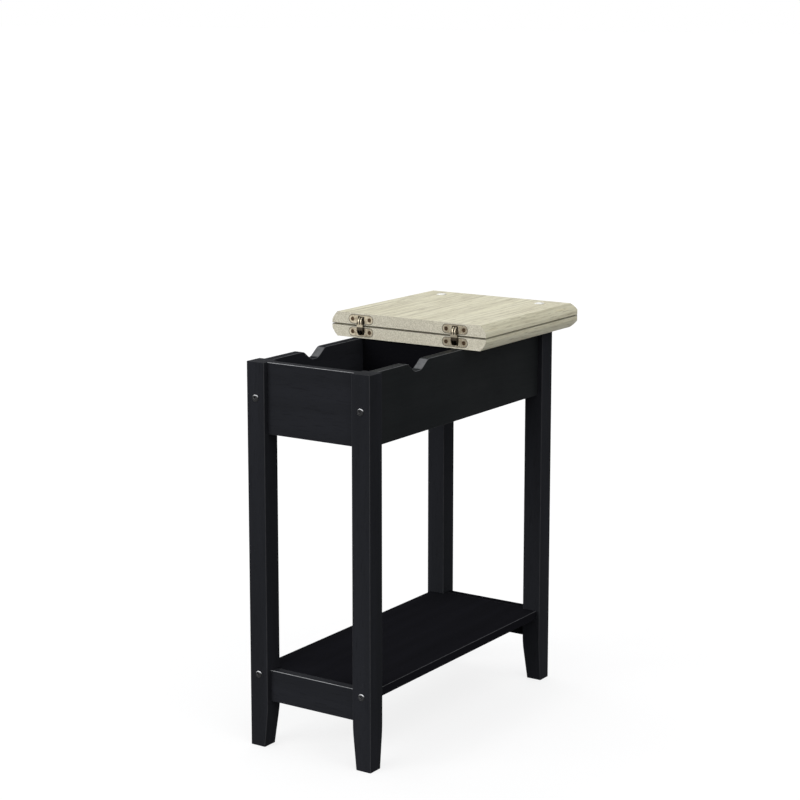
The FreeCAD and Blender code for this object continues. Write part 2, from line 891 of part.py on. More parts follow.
def make_hinge_screws(name, sign):
    items = []
    for flank, sx in sides():
        for i, spot in enumerate(hinge_screw_places(sx, sign)):
            items.append(screw(
                f"{name}_{flank}_{i}", "+y", spot, "hinge_screw_head", "hinge_screw_head_depth",
                "hinge_screw_radius", "hinge_screw_length"))
    return node(name, group(name, items))


def make_pivot(name, sx, sign):
    x = hinge_x(sx)
    return node(name, rod(
        name, "+x", (f"({x}) - cup_width / 2", "cut_y + link_pivot", depth(sign, "link_pivot")),
        "pivot_radius", "cup_width"))


def link_plate(label, x, sign):
    """One link plate: an eye and a fan about the pivot, and a bar in front of the cut edges.

    The plate is pivoted on the side that the sign names and reaches over to the other side.  The plates of
    the leaf side are slotted for the centre pin, which slides along the bar as the leaf folds.
    """
    low = f"({x}) - link_thickness / 2"
    pivot = ("cut_y + link_pivot", depth(sign, "link_pivot"))
    eye = rod(label + "_eye", "+x", (low, *pivot), "link_eye", "link_thickness")
    fan = doc.addObject("Part::Cylinder", label + "_fan")
    bind(fan, Radius="link_sweep", Height="link_thickness", Angle="link_span_angle")
    start = HALF_TURN_ANGLE + number("link_start_angle")
    if sign > 0:
        start = HALF_TURN_ANGLE - number("link_start_angle") - number("link_span_angle")
    upright = FreeCAD.Rotation(FreeCAD.Vector(1, 1, 1), THIRD_TURN_ANGLE)
    fan.Placement = FreeCAD.Placement(
        FreeCAD.Vector(), FreeCAD.Rotation(FreeCAD.Vector(1, 0, 0), start).multiply(upright))
    place(fan, low, *pivot)
    across = (low, f"({x}) + link_thickness / 2")
    front = ("cut_y - link_front", "cut_y - link_back")
    span = side(-sign, "-link_root", "link_reach - link_bar / 2", "fold_z")
    bar = slab(label + "_bar", across, front, span)
    tip = rod(
        label + "_tip", "+x", (low, "cut_y - link_mid", depth(-sign, "link_reach - link_bar / 2")),
        "link_bar / 2", "link_thickness")
    solid = join(label + "_solid", [eye, fan, bar, tip])
    wide = "link_thickness + 2 * overrun"
    low_cut = f"({low}) - overrun"
    tools = [rod(label + "_pivot_hole", "+x", (low_cut, *pivot), "pivot_radius + pivot_fit", wide)]
    pin_hole = "centre_pin_radius + pivot_fit"
    if sign > 0:
        pin_hole = "centre_pin_radius + slide_fit"
        tools.append(slab(
            label + "_slide", (low_cut, f"({low_cut}) + {wide}"),
            about("cut_y - link_mid", pin_hole), ("fold_z - link_slide", "fold_z")))
        tools.append(rod(
            label + "_slide_end", "+x", (low_cut, "cut_y - link_mid", "fold_z - link_slide"),
            pin_hole, wide))
    tools.append(rod(label + "_pin_hole", "+x", (low_cut, "cut_y - link_mid", "fold_z"), pin_hole, wide))
    return cut(label, solid, tools)


def make_links(name, sx, sign, columns):
    items = []
    for i, column in enumerate(columns):
        items.append(link_plate(f"{name}_{i}", f"{hinge_x(sx)} + {column} * link_pitch", sign))
    return node(name, group(name, items))


def make_hinges():
    for flank, sx in sides():
        make_cup(f"hinge_{flank}_fixed_cup", sx, -1)
        make_cup(f"hinge_{flank}_leaf_cup", sx, 1)
        make_pivot(f"hinge_{flank}_fixed_pivot", sx, -1)
        make_pivot(f"hinge_{flank}_leaf_pivot", sx, 1)
        make_links(f"hinge_{flank}_fixed_links", sx, -1, (-2, 0, 2))
        make_links(f"hinge_{flank}_leaf_links", sx, 1, (-1, 1))
        name = f"hinge_{flank}_centre_pin"
        node(name, rod(
            name, "+x", (f"{hinge_x(sx)} - pack_width / 2", "cut_y - link_mid", "fold_z"),
            "centre_pin_radius", "pack_width"))
    make_hinge_screws("hinge_fixed_screws", -1)
    make_hinge_screws("hinge_leaf_screws", 1)


def make_pads():
    """Rest pads on the flip leaf's underside, over the front legs once the leaf is closed."""
    items = []
    for flank, sx in sides():
        items.append(slab(
            f"rest_pad_{flank}", about(f"{sx} * leg_mid_x", "pad_size / 2"),
            about("cut_y + leg_mid_y", "pad_size / 2"),
            (depth(1, "half_gap + top_thickness"), depth(1, "half_gap + top_thickness + pad_thickness"))))
    return node("rest_pads", group("rest_pads", items))


def make_bolts(kind, height):
    items = []
    for end, sy in ends():
        for flank, sx in sides():
            label = f"{kind}_bolt_{end}_{flank}"
            way = "+y" if sy < 0 else "-y"
            x = f"{sx} * leg_mid_x"
            seat = f"cut_y + {sy} * (half_length - bolt_sink)"
            crown = f"cut_y + {sy} * (half_length - bolt_sink + bolt_head_height)"
            head = rod(label + "_head", way, (x, crown, height), "bolt_head_radius", "bolt_head_height")
            outer = number(crown)

            def crown_edge(edge):
                box = edge.BoundBox
                return box.YLength < NEAR_TOLERANCE and abs(box.YMin - outer) < NEAR_TOLERANCE

            dome = rounded(label + "_dome", head, "bolt_head_round", crown_edge)
            shank = rod(label + "_shank", way, (x, seat, height), "bolt_radius", "bolt_length")
            solid = join(label + "_solid", [dome, shank])
            mouth = f"cut_y + {sy} * (half_length - bolt_sink + bolt_head_height + overrun)"
            key = prism(label + "_key", way, (x, mouth, height), "hex_key", "overrun + hex_depth")
            items.append(cut(label, solid, [key]))
    return node(f"{kind}_bolts", group(f"{kind}_bolts", items))


def make_barrels(kind, height, way):
    """Barrel nuts: the bolt runs through them across their axis."""
    items = []
    for end, sy in ends():
        for flank, sx in sides():
            label = f"{kind}_barrel_{end}_{flank}"
            spot = list(barrel_place(sx, sy, height))
            axis = {"x": 0, "z": 2}[way]
            spot[axis] = f"({spot[axis]}) - barrel_length / 2"
            body = rod(label + "_body", "+" + way, spot, "barrel_radius", "barrel_length")
            middle = barrel_place(sx, sy, height)
            thread = rod(
                label + "_thread", "+y", (middle[0], f"({middle[1]}) - barrel_radius - overrun", middle[2]),
                "bolt_radius + metal_fit", "2 * barrel_radius + 2 * overrun")
            inner = -sx if way == "x" else -1
            spans = [about(place_on_axis, "barrel_slot / 2") for place_on_axis in middle]
            spans[1] = about(middle[1], "barrel_radius + overrun")
            end_face = "barrel_length / 2"
            spans[axis] = side(inner, f"{end_face} - barrel_slot", f"{end_face} + overrun", middle[axis])
            items.append(cut(label, body, [thread, slab(label + "_slot", *spans)]))
    return node(f"{kind}_barrel_nuts", group(f"{kind}_barrel_nuts", items))


def make_dowels(name, way, spots, half):
    items = [dowel(f"{name}_{i}", way, spot, half) for i, spot in enumerate(spots)]
    return node(name, group(name, items))


def bracket_spots():
    """Side and place of each top bracket, as shares of the bay from the divider to the back legs."""
    start = "divider_y + divider_thickness"
    bay = f"cut_y + leg_inner_y - ({start})"
    shares = ("bracket_near_share", "bracket_far_share")
    return [(sx, f"{start} + {share} * ({bay})") for flank, sx in sides() for share in shares]


def bracket_screw_at(spot, in_rail):
    sx, y = spot
    out = "bracket_screw_share * bracket_size"
    if in_rail:
        start = f"{sx} * (rail_inner_x - bracket_thickness)"
        return ("+x" if sx > 0 else "-x", (start, y, f"leg_top - {out}"))
    return ("+z", (f"{sx} * (rail_inner_x - {out})", y, "leg_top - bracket_thickness"))


def bracket_screw_hole(label, spot, in_rail):
    way, at = bracket_screw_at(spot, in_rail)
    return rod(
        label, way, at, "bracket_screw_radius + wood_fit", "bracket_screw_length + wood_fit")


def make_brackets():
    brackets = []
    screws = []
    for i, spot in enumerate(bracket_spots()):
        sx, y = spot
        label = f"top_bracket_{i}"
        across = about(y, "bracket_width / 2")
        upright = slab(
            label + "_upright", side(sx, "rail_inner_x - bracket_thickness", "rail_inner_x"), across,
            ("leg_top - bracket_size", "leg_top"))
        arm = slab(
            label + "_arm", side(sx, "rail_inner_x - bracket_size", "rail_inner_x"), across,
            ("leg_top - bracket_thickness", "leg_top"))
        angle = join(label + "_angle", [upright, arm])
        tools = []
        for in_rail in (True, False):
            way, at = bracket_screw_at(spot, in_rail)
            tools.append(rod(
                f"{label}_hole_{in_rail}", way, at, "bracket_screw_radius + metal_fit",
                "bracket_thickness + overrun"))
            back = "-" + way[1] if way[0] == "+" else "+" + way[1]
            head = rod(
                f"{label}_head_{in_rail}", back, at, "bracket_screw_head", "bracket_thickness")
            shank = rod(
                f"{label}_shank_{in_rail}", way, at, "bracket_screw_radius", "bracket_screw_length")
            screws.append(join(f"{label}_screw_{in_rail}", [head, shank]))
        brackets.append(cut(label, angle, tools))
    node("top_brackets", group("top_brackets", brackets))
    node("top_bracket_screws", group("top_bracket_screws", screws))


def usb_heights():
    return [f"station_z + {k} * usb_pitch / 2" for k in (-1, 1)]


def station_screw_place(sx):
    return (f"{sx} * (station_width / 2 - station_screw_inset)", "divider_y - station_plate", "station_z")


def make_station():
    front = "divider_y - station_plate"
    plate = slab(
        "station_plate_board", about("0", "station_width / 2"), (front, "divider_y"),
        about("station_z", "station_height / 2"))

    def corner(edge):
        line, middle = run(edge)
        return line.y > MOSTLY_SHARE

    smooth = rounded("station_plate_smooth", plate, "station_round", corner)
    through = (f"{front} - overrun", "divider_y + overrun")
    tools = []
    for i, z in enumerate(usb_heights()):
        tools.append(slab(
            f"usb_window_{i}", about("0", "usb_width / 2 + metal_fit"), through,
            about(z, "usb_height / 2 + metal_fit")))
    for flank, sx in sides():
        tools.append(slab(
            f"outlet_window_{flank}", about(f"{sx} * outlet_offset", "outlet_width / 2 + metal_fit"),
            through, about("station_z", "outlet_height / 2 + metal_fit")))
        spot = station_screw_place(sx)
        tools.append(cone(
            f"station_sink_{flank}", "+y", spot, "station_screw_head + metal_fit",
            "station_screw_radius + metal_fit", "station_screw_head - station_screw_radius"))
        tools.append(rod(
            f"station_hole_{flank}", "+y", spot, "station_screw_radius + metal_fit",
            "station_plate + overrun"))
    node("station_faceplate", cut("station_faceplate", smooth, tools))

    block = slab(
        "housing_block", about("0", "housing_width / 2"), ("divider_y", "divider_y + housing_depth"),
        about("station_z", "housing_height / 2"))
    hollow = slab(
        "housing_hollow", about("0", "housing_width / 2 - housing_wall"),
        ("divider_y - overrun", "divider_y + housing_depth - housing_wall"),
        about("station_z", "housing_height / 2 - housing_wall"))
    gland_hole = rod(
        "housing_gland_hole", "+y", ("0", "divider_y + housing_depth - housing_wall - overrun", "station_z"),
        "gland_neck + metal_fit", "housing_wall + 2 * overrun")
    node("station_housing", cut("station_housing", block, [hollow, gland_hole]))

    outlets = []
    start = f"{front} - outlet_proud"
    high = "station_z + outlet_rise"
    for outlet, ox in sides():
        x = f"{ox} * outlet_offset"
        insert = slab(
            f"outlet_block_{outlet}", about(x, "outlet_width / 2"), (start, f"{start} + outlet_depth"),
            about("station_z", "outlet_height / 2"))
        slots = [rod(
            f"outlet_earth_{outlet}", "+y", (x, f"{start} - overrun", f"{high} - earth_drop"),
            "earth_radius", "overrun + blade_depth")]
        for flank, sx in sides():
            slots.append(slab(
                f"outlet_blade_{outlet}_{flank}",
                about(f"{x} + {sx} * blade_spacing / 2", "blade_width / 2"),
                (f"{start} - overrun", f"{start} + blade_depth"), about(high, "blade_height / 2")))
        outlets.append(cut(f"outlet_insert_{outlet}", insert, slots))
    node("outlet_inserts", group("outlet_inserts", outlets))

    shells = []
    tongues = []
    rear = f"{front} + usb_depth"
    for i, z in enumerate(usb_heights()):
        outer = slab(
            f"usb_outer_{i}", about("0", "usb_width / 2"), (front, rear), about(z, "usb_height / 2"))
        inner = slab(
            f"usb_inner_{i}", about("0", "usb_width / 2 - usb_wall"),
            (f"{front} - overrun", f"{rear} + overrun"), about(z, "usb_height / 2 - usb_wall"))
        shells.append(cut(f"usb_shell_{i}", outer, [inner]))
        tongues.append(slab(
            f"usb_tongue_{i}", about("0", "usb_tongue_width / 2"),
            (f"{front} + usb_wall", f"{rear} + usb_wall"), about(z, "usb_tongue_height / 2")))
    node("usb_shells", group("usb_shells", shells))
    base = slab(
        "usb_base_block", about("0", "usb_width / 2"), (rear, f"{rear} + usb_base"),
        about("station_z", "(usb_pitch + usb_height) / 2"))
    node("usb_insert", join("usb_insert", [base] + tongues))

    screws = []
    for flank, sx in sides():
        spot = station_screw_place(sx)
        screws.append(screw(
            f"station_screw_{flank}", "+y", spot, "station_screw_head",
            "station_screw_head - station_screw_radius", "station_screw_radius", "station_screw_length"))
    node("station_screws", group("station_screws", screws))

    collar = rod(
        "gland_collar", "+y", ("0", "divider_y + housing_depth", "station_z"), "gland_radius", "gland_length")
    neck = rod(
        "gland_neck", "+y", ("0", "divider_y + housing_depth - housing_wall", "station_z"),
        "gland_neck", "housing_wall + gland_length / 2")
    gland = join("gland_solid", [collar, neck])
    bore = rod(
        "gland_bore_hole", "+y", ("0", "divider_y + housing_depth - housing_wall - overrun", "station_z"),
        "gland_bore", "housing_wall + gland_length + 2 * overrun")
    node("cord_gland", cut("cord_gland", gland, [bore]))

    inside = "cut_y + rail_inner_y"
    outside = "cut_y + rail_inner_y + rail_thickness"
    sleeve = rod(
        "grommet_sleeve", "+y", ("0", inside, "station_z"), "grommet_radius", "rail_thickness + grommet_lip")
    lip = rod("grommet_outer_lip", "+y", ("0", outside, "station_z"), "grommet_flange", "grommet_lip")
    ring = join("grommet_solid", [sleeve, lip])
    hole = rod(
        "grommet_hole", "+y", ("0", f"{inside} - overrun", "station_z"), "grommet_bore",
        "rail_thickness + grommet_lip + 2 * overrun")
    node("cord_grommet", cut("cord_grommet", ring, [hole]))


for end_name, end_sign in ends():
    for flank_name, flank_sign in sides():
        make_leg(end_name, end_sign, flank_name, flank_sign)
    make_apron(end_name, end_sign)
    make_stretcher(end_name, end_sign)
for flank_name, flank_sign in sides():
    make_rail(flank_name, flank_sign)
make_shelf()
make_floor()
make_divider()
make_leaf("top_fixed_leaf", -1)
make_leaf("top_flip_leaf", 1)
make_pads()
make_hinges()
make_bolts("rail", "rail_mid_z")
make_bolts("shelf", "shelf_mid_z")
make_barrels("rail", "rail_mid_z", "x")
make_barrels("shelf", "shelf_mid_z", "z")
make_dowels("apron_dowels", "+x", at_corners(apron_dowels), HALF_DOWEL)
make_dowels("rail_dowels", "+y", at_corners(rail_dowels), HALF_DOWEL)
make_dowels("stretcher_dowels", "+x", at_corners(stretcher_dowels), HALF_DOWEL)
make_dowels("divider_dowels", "+x", divider_dowels(-1) + divider_dowels(1), HALF_DIVIDER_DOWEL)
make_brackets()
make_station()

doc.recompute()
for item in doc.Objects:
    if "Invalid" in item.State or "Error" in item.State:
        raise RuntimeError(f"{item.Name} did not compute: {item.State}")
os.makedirs("parts", exist_ok=True)
for name, item in NODES.items():
    shape = item.Shape
    if shape.isNull() or not shape.isValid() or not shape.Solids:
        raise RuntimeError(f"{name} has no valid solid")
    shape.exportStep(f"parts/{name}.step")
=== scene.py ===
import math

import bpy
import numpy as np
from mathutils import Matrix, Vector


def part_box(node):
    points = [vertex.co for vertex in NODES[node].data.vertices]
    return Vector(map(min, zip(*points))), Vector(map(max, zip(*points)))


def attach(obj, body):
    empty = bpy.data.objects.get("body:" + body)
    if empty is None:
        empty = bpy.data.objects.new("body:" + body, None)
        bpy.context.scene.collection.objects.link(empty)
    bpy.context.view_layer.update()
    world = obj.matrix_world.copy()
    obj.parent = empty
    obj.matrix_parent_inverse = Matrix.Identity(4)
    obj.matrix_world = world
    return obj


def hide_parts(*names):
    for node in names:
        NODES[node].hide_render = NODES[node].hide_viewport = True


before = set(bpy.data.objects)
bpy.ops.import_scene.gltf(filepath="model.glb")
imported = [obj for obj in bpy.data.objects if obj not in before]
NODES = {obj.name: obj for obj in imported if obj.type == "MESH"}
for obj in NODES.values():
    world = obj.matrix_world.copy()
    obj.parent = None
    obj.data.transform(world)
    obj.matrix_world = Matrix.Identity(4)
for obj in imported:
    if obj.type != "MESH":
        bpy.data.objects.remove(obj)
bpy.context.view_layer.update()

# A flip-top end table: a black painted frame, a pale wood-grain top in two leaves and antique brass hinges.
# Metres, +Z up, +Y to the back, as the imported model gives them.

MM = 0.001
ENDS = ("front", "back")
FLANKS = ("left", "right")

# The two leaves meet at fold_z, are sawn at cut_y and hold the hinge plates in their sawn faces.
leaf_low, leaf_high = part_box("top_fixed_leaf")
flip_low, flip_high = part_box("top_flip_leaf")
plate_low, plate_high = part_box("hinge_right_fixed_cup")
cut_y = leaf_low[1]
fold_z = (leaf_high[2] + flip_low[2]) / 2

# How far from its edge a mark is at full strength, and where it has faded out.
SAWN_SKIN = 0.3 * MM, 1.1 * MM
RIM_SKIN = 0.5 * MM, 1.4 * MM
# The last two reach the painted shade along the fold and around the hinge plates.
FOLD_SHADE_SKIN = 1.1 * MM, 1.8 * MM
SEAT_SHADE_SKIN = 0.8 * MM, 1.5 * MM

FLOAT = "NodeSocketFloat"
VECTOR = "NodeSocketVector"
WHITE = (1.0, 1.0, 1.0, 1.0)


def paint(red, green, blue):
    """A screen colour of 0 to 255 as the linear colour that shaders take."""
    screen = np.array([red, green, blue]) / 255.0
    low = screen / 12.92
    high = ((screen + 0.055) / 1.055) ** 2.4
    return (*np.where(screen <= 0.04045, low, high).tolist(), 1.0)


class ShaderNet:
    """Short calls that add shader nodes to one tree."""

    def __init__(self, tree):
        self.tree = tree

    def plug(self, socket, value):
        """Sets an input to a value, or links another node's output to it."""
        if isinstance(value, bpy.types.NodeSocket):
            self.tree.links.new(value, socket)
        else:
            socket.default_value = value

    def add(self, kind, wires=(), **setup):
        """Adds a node: setup names its properties, and wires pairs its inputs with values."""
        node = self.tree.nodes.new(kind)
        for name, value in setup.items():
            setattr(node, name, value)
        for key, value in dict(wires).items():
            self.plug(node.inputs[key], value)
        return node

    def math(self, operation, *values):
        """One arithmetic step on values."""
        return self.add("ShaderNodeMath", enumerate(values), operation=operation).outputs[0]

    def vector(self, operation, *values):
        """One arithmetic step on vectors."""
        node = self.add("ShaderNodeVectorMath", enumerate(values), operation=operation)
        return node.outputs["Value" if operation == "DOT_PRODUCT" else "Vector"]

    def parts(self, vector):
        """The X, Y and Z of a vector."""
        return self.add("ShaderNodeSeparateXYZ", {0: vector}).outputs

    def mix(self, share, first, second):
        """A colour between two others."""
        return self.add("ShaderNodeMix", {0: share, 6: first, 7: second}, data_type="RGBA").outputs[2]

    def tint(self, colour, tone, mask, share):
        """Lays a tone over a colour where the mask is, at no more than this share."""
        return self.mix(self.math("MULTIPLY", mask, share), colour, tone)

    def stretch(self, vector, scale, turn=(0, 0, 0)):
        """Coordinates turned and scaled, which draws a pattern out along the axes scaled least."""
        wires = {"Vector": vector, "Scale": scale, "Rotation": turn}
        return self.add("ShaderNodeMapping", wires).outputs["Vector"]

    def noise(self, vector, scale=1.0, detail=2.0, roughness=0.5, distortion=0.0):
        """Cloudy noise about 0.5."""
        wires = {
            "Vector": vector, "Scale": scale, "Detail": detail, "Roughness": roughness,
            "Distortion": distortion,
        }
        return self.add("ShaderNodeTexNoise", wires).outputs["Fac"]

    def fade(self, value, low, high, first=0.0, last=1.0):
        """A smooth step from first to last while the value goes from low to high."""
        wires = {"Value": value, "From Min": low, "From Max": high, "To Min": first, "To Max": last}
        return self.add("ShaderNodeMapRange", wires, interpolation_type="SMOOTHSTEP").outputs["Result"]

    def within(self, distance, reach):
        """1 up to the reach's first distance, fading to 0 at its second."""
        full, gone = reach
        return self.fade(distance, gone, full)

    def ramp(self, value, stops):
        """A colour from a row of (place, colour) stops."""
        node = self.add("ShaderNodeValToRGB", {0: value})
        elements = node.color_ramp.elements
        while len(elements) < len(stops):
            elements.new(1.0)
        for element, (place, colour) in zip(elements, stops):
            element.position = place
            element.color = colour
        return node.outputs["Color"]

    def share(self, group, **wires):
        """Places a shared effect and gives its outputs."""
        return self.add("ShaderNodeGroup", wires, node_tree=group).outputs


def shared(name, inputs, outputs):
    """An empty shared effect with named inputs, each a (name, kind), and named value outputs."""
    tree = bpy.data.node_groups.new(name, "ShaderNodeTree")
    for label, kind in inputs:
        tree.interface.new_socket(label, in_out="INPUT", socket_type=kind)
    for label in outputs:
        tree.interface.new_socket(label, in_out="OUTPUT", socket_type=FLOAT)
    net = ShaderNet(tree)
    given = net.add("NodeGroupInput").outputs
    made = net.add("NodeGroupOutput").inputs
    return net, given, made


def make_board_grain():
    """Fibres along Y: broad bands, wavy growth lines, thin streaks and fine pores, each from 0 to 1.

    The lines are a wave and the rest is noise, drawn out along Y, on coordinates that a slow noise sways
    sideways.
    """
    net, given, made = shared("board_grain", [("Vector", VECTOR)], ["Bands", "Lines", "Streaks", "Pores"])
    broad = net.stretch(given["Vector"], (5, 2.2, 5))
    slow = net.add("ShaderNodeTexNoise", {"Vector": broad, "Scale": 1.0})
    sway = net.vector("SUBTRACT", slow.outputs["Color"], (0.5, 0.5, 0.5))
    swayed = net.vector("MULTIPLY_ADD", sway, (0.03, 0.0, 0.03), given["Vector"])
    lines = net.add(
        "ShaderNodeTexWave",
        {"Vector": net.stretch(swayed, (1.0, 0.06, 0.45)), "Scale": 24.0, "Distortion": 7.0, "Detail": 2.5,
         "Detail Scale": 1.4, "Detail Roughness": 0.55},
        bands_direction="X",
    )
    bands = net.noise(net.stretch(swayed, (26, 1.3, 26)), detail=3.0, roughness=0.55)
    streaks = net.noise(net.stretch(swayed, (270, 6, 270)), detail=5.0, roughness=0.68)
    pores = net.noise(net.stretch(swayed, (520, 34, 520)), detail=2.5, roughness=0.6)
    net.plug(made["Lines"], lines.outputs["Fac"])
    net.plug(made["Bands"], net.fade(bands, 0.3, 0.7))
    net.plug(made["Streaks"], net.fade(streaks, 0.28, 0.72))
    net.plug(made["Pores"], net.fade(pores, 0.54, 0.7))
    return net.tree


def worn_patches(net, vector):
    """Patchy noise that breaks up the wear and the painted highlights along an edge."""
    return net.noise(vector, scale=55.0, detail=4.0, roughness=0.65)


def make_rubbed_edges():
    """Where a surface turns a corner within the width: the rounded normal departs from the real one."""
    net, given, made = shared("rubbed_edges", [("Vector", VECTOR), ("Width", FLOAT)], ["Mask"])
    soft = net.add("ShaderNodeBevel", {"Radius": given["Width"]}, samples=8)
    real = net.add("ShaderNodeNewGeometry")
    along = net.vector("DOT_PRODUCT", soft.outputs["Normal"], real.outputs["Normal"])
    corner = net.fade(along, 0.985, 0.75)
    patches = net.fade(worn_patches(net, given["Vector"]), 0.3, 0.62)
    net.plug(made["Mask"], net.math("MULTIPLY", corner, patches))
    return net.tree


def make_arris():
    """Where a square-set piece turns off its axes, and how far it looks up there, each from 0 to 1.

    The turn is read from the largest of the normal's three parts, which is 1 on a square face.
    """
    net, given, made = shared("arris", [("Vector", VECTOR)], ["Turn", "Upward"])
    x, y, z = net.parts(net.add("ShaderNodeNewGeometry").outputs["Normal"])
    square = net.math("MAXIMUM", net.math("ABSOLUTE", x), net.math("ABSOLUTE", y))
    square = net.math("MAXIMUM", square, net.math("ABSOLUTE", z))
    patches = net.fade(worn_patches(net, given["Vector"]), 0.25, 0.6, 0.55, 1.0)
    net.plug(made["Turn"], net.math("MULTIPLY", net.fade(square, 0.98, 0.88), patches))
    net.plug(made["Upward"], net.fade(z, 0.2, 0.65))
    return net.tree


def make_handling():
    """Slow cloudy haze and scattered fine specks from handling and dust, each from 0 to 1."""
    net, given, made = shared("handling", [("Vector", VECTOR)], ["Haze", "Specks"])
    haze = net.noise(given["Vector"], scale=7.0, detail=4.0, roughness=0.6, distortion=0.4)
    specks = net.noise(given["Vector"], scale=420.0)
    net.plug(made["Haze"], net.fade(haze, 0.3, 0.7))
    net.plug(made["Specks"], net.fade(specks, 0.68, 0.78))
    return net.tree


def make_leaf_places():
    """Where a leaf is sawn across, where its rim meets the fold, and the line around each hinge plate.

    The four hinge plates are mirrored onto one: a rounded bar, whose distance is the distance from its
    middle line less its radius.
    """
    net, given, made = shared("leaf_places", [("Vector", VECTOR)], ["Sawn", "Rim", "Seat"])
    x, y, z = net.parts(given["Vector"])
    across = net.math("ABSOLUTE", x)
    off_fold = net.math("ABSOLUTE", net.math("SUBTRACT", z, fold_z))
    sawn = net.within(net.math("SUBTRACT", y, cut_y), SAWN_SKIN)
    flank = net.within(net.math("SUBTRACT", leaf_high[0], across), RIM_SKIN)
    far = net.within(net.math("SUBTRACT", leaf_high[1], y), RIM_SKIN)
    outer = net.math("MAXIMUM", sawn, net.math("MULTIPLY", net.math("MAXIMUM", flank, far), 0.6))
    radius = (plate_high[2] - plate_low[2]) / 2
    straight = (plate_high[0] - plate_low[0]) / 2 - radius
    plate_x = (plate_low[0] + plate_high[0]) / 2
    plate_off_fold = fold_z - (plate_low[2] + plate_high[2]) / 2
    along = net.math("ABSOLUTE", net.math("SUBTRACT", across, plate_x))
    along = net.math("MAXIMUM", net.math("SUBTRACT", along, straight), 0.0)
    off_plate = net.math("SUBTRACT", off_fold, plate_off_fold)
    squared = net.math("MULTIPLY_ADD", along, along, net.math("MULTIPLY", off_plate, off_plate))
    outside = net.math("SUBTRACT", net.math("SQRT", squared), radius)
    net.plug(made["Sawn"], sawn)
    net.plug(made["Rim"], net.math("MULTIPLY", outer, net.within(off_fold, FOLD_SHADE_SKIN)))
    net.plug(made["Seat"], net.math("MULTIPLY", sawn, net.within(outside, SEAT_SHADE_SKIN)))
    return net.tree


BOARD_GRAIN = make_board_grain()
LEAF_PLACES = make_leaf_places()
RUBBED_EDGES = make_rubbed_edges()
ARRIS = make_arris()
HANDLING = make_handling()


def finish_on(name):
    """A new material: its net, its Principled shader's inputs and the object coordinates."""
    material = bpy.data.materials.new(name)
    material.use_nodes = True
    net = ShaderNet(material.node_tree)
    shader = material.node_tree.nodes["Principled BSDF"]
    place = net.add("ShaderNodeTexCoord").outputs["Object"]
    return material, net, shader.inputs, place


def raise_by(net, surface, height, distance, strength):
    """Drives the normal by a height of 0 to 1 that stands for this distance."""
    bump = net.add("ShaderNodeBump", {"Height": height, "Distance": distance, "Strength": strength})
    net.plug(surface["Normal"], bump.outputs["Normal"])


# Turns that lay the grain, which runs along Y, the way a board is cut.
ALONG_Y = (0, 0, 0)
ALONG_Z = (math.pi / 2, 0, 0)
ALONG_X = (0, 0, math.pi / 2)


def black_paint(name, turn, tones, polish, arris_highlight, gloss):
    """Black paint: fibres show faintly through the film, pale along arrises from wear and a painted
    highlight.

    Tones are the film's dark and light colours.  Polish is how far handling has shined the upper arrises
    and the slopes between faces, the next share is a painted highlight there, and gloss is the paint's own
    shine.
    """
    material, net, surface, place = finish_on(name)
    grain = net.share(BOARD_GRAIN, Vector=net.stretch(place, (1, 1, 1), turn))
    arris = net.share(ARRIS, Vector=place)
    touch = net.share(HANDLING, Vector=place)
    crest = net.math("MULTIPLY", arris["Turn"], arris["Upward"])
    film = net.mix(grain["Bands"], *tones)
    film = net.tint(film, paint(20, 20, 22), grain["Pores"], 0.3)
    # Pale along every arris and slope: partly wear, partly a painted highlight.
    film = net.tint(film, paint(70, 71, 73), arris["Turn"], 0.55)
    # Painted highlight: the upper arrises and slopes lightened as if they catch the light from above.
    film = net.tint(film, paint(204, 205, 207), crest, arris_highlight)
    film = net.tint(film, paint(104, 104, 104), touch["Specks"], 0.08)
    net.plug(surface["Base Color"], film)
    if polish:
        shine = net.math("MULTIPLY_ADD", touch["Haze"], -0.3 * polish, polish)
        net.plug(surface["Coat Weight"], net.math("MULTIPLY", crest, shine))
        surface["Coat Roughness"].default_value = 0.28
    rough = net.math("MULTIPLY_ADD", touch["Haze"], 0.12, 0.42)
    net.plug(surface["Roughness"], net.math("MULTIPLY_ADD", grain["Streaks"], 0.06, rough))
    surface["Specular IOR Level"].default_value = gloss
    peel = net.noise(place, scale=520.0)
    height = net.math("MULTIPLY_ADD", peel, 0.45, net.math("MULTIPLY", grain["Streaks"], 0.3))
    height = net.math("SUBTRACT", height, net.math("MULTIPLY", grain["Pores"], 0.5))
    raise_by(net, surface, height, 0.12 * MM, 0.6)
    return material


